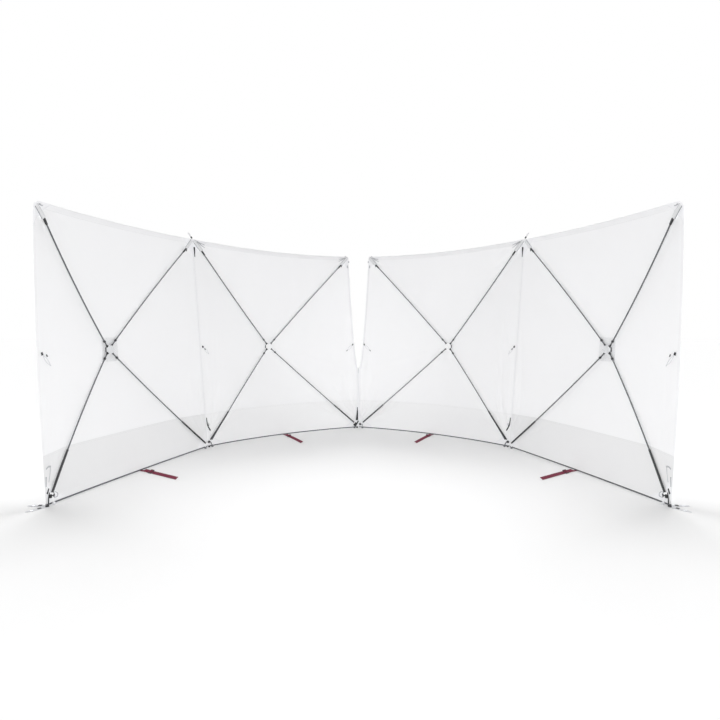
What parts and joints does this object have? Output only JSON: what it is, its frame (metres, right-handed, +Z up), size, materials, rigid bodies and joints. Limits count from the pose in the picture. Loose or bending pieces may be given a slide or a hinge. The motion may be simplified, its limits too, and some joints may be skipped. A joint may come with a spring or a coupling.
{
  "type": "pop-up privacy screen",
  "caption": "Free-standing cloth privacy screen whose square bays are sprung open by hubs and poles, with fabric hinges between the bays, an open zip at the middle and straps on the floor.",
  "frame": {"origin": "on the floor, in the middle of the screen's footprint", "axes": "+Z up, +X along the screen to the right as seen from its inner side, +Y to its outer side"},
  "size_m": [3.475, 2.4454, 1.6355],
  "materials": {
    "cloth": "translucent white woven polyester",
    "band": "second layer of the white cloth",
    "hem": "dark grey woven binding",
    "hub": "white moulded nylon",
    "poles": "dark grey fibreglass",
    "pole_ends": "black moulded rubber and nylon",
    "corners": "white webbing and oxford cloth",
    "strap": "dark red woven webbing",
    "toggles": "black nylon",
    "hub_patch": "grey dotted mesh",
    "seam": "white piping",
    "zip": "pale nylon coil",
    "slider": "dark enamel",
    "tape": "white woven tape",
    "tails": "white webbing"
  },
  "bodies": {
    "bay_1": {"bay_1_cloth": "cloth", "bay_1_band": "band", "bay_1_hem": "hem", "bay_1_hub": "hub", "bay_1_poles": "poles", "bay_1_pole_ends": "pole_ends", "bay_1_corners": "corners", "bay_1_strap": "strap", "bay_1_toggles": "toggles", "left_hub_patch": "hub_patch", "left_peg_tails": "tails"},
    "bay_2": {"bay_2_cloth": "cloth", "bay_2_band": "band", "bay_2_hem": "hem", "bay_2_hub": "hub", "bay_2_poles": "poles", "bay_2_pole_ends": "pole_ends", "bay_2_corners": "corners", "bay_2_strap": "strap", "bay_2_toggles": "toggles", "left_seam": "seam", "zip_chain": "zip", "zip_slider": "slider", "left_zip_tape": "tape"},
    "bay_3": {"bay_3_cloth": "cloth", "bay_3_band": "band", "bay_3_hem": "hem", "bay_3_hub": "hub", "bay_3_poles": "poles", "bay_3_pole_ends": "pole_ends", "bay_3_corners": "corners", "bay_3_strap": "strap", "bay_3_toggles": "toggles", "right_seam": "seam", "right_zip_tape": "tape"},
    "bay_4": {"bay_4_cloth": "cloth", "bay_4_band": "band", "bay_4_hem": "hem", "bay_4_hub": "hub", "bay_4_poles": "poles", "bay_4_pole_ends": "pole_ends", "bay_4_corners": "corners", "bay_4_strap": "strap", "bay_4_toggles": "toggles", "right_hub_patch": "hub_patch", "right_peg_tails": "tails"}
  },
  "joints": [
    {"name": "left_seam_fold", "type": "hinge", "parent": "bay_2", "child": "bay_1", "pos_m": [-1.24642, 0.30474, 0.8175], "axis": [-0.0496, -0.0253, 0.9984], "range_deg": [-111, 43]},
    {"name": "middle_zip_fold", "type": "hinge", "parent": "bay_2", "child": "bay_3", "pos_m": [0, 1.21771, 0.3], "axis": [0, 0, -1], "range_deg": [-148, 15]},
    {"name": "right_seam_fold", "type": "hinge", "parent": "bay_3", "child": "bay_4", "pos_m": [1.24642, 0.30474, 0.8175], "axis": [-0.0496, 0.0253, -0.9984], "range_deg": [-111, 43]}
  ]
}
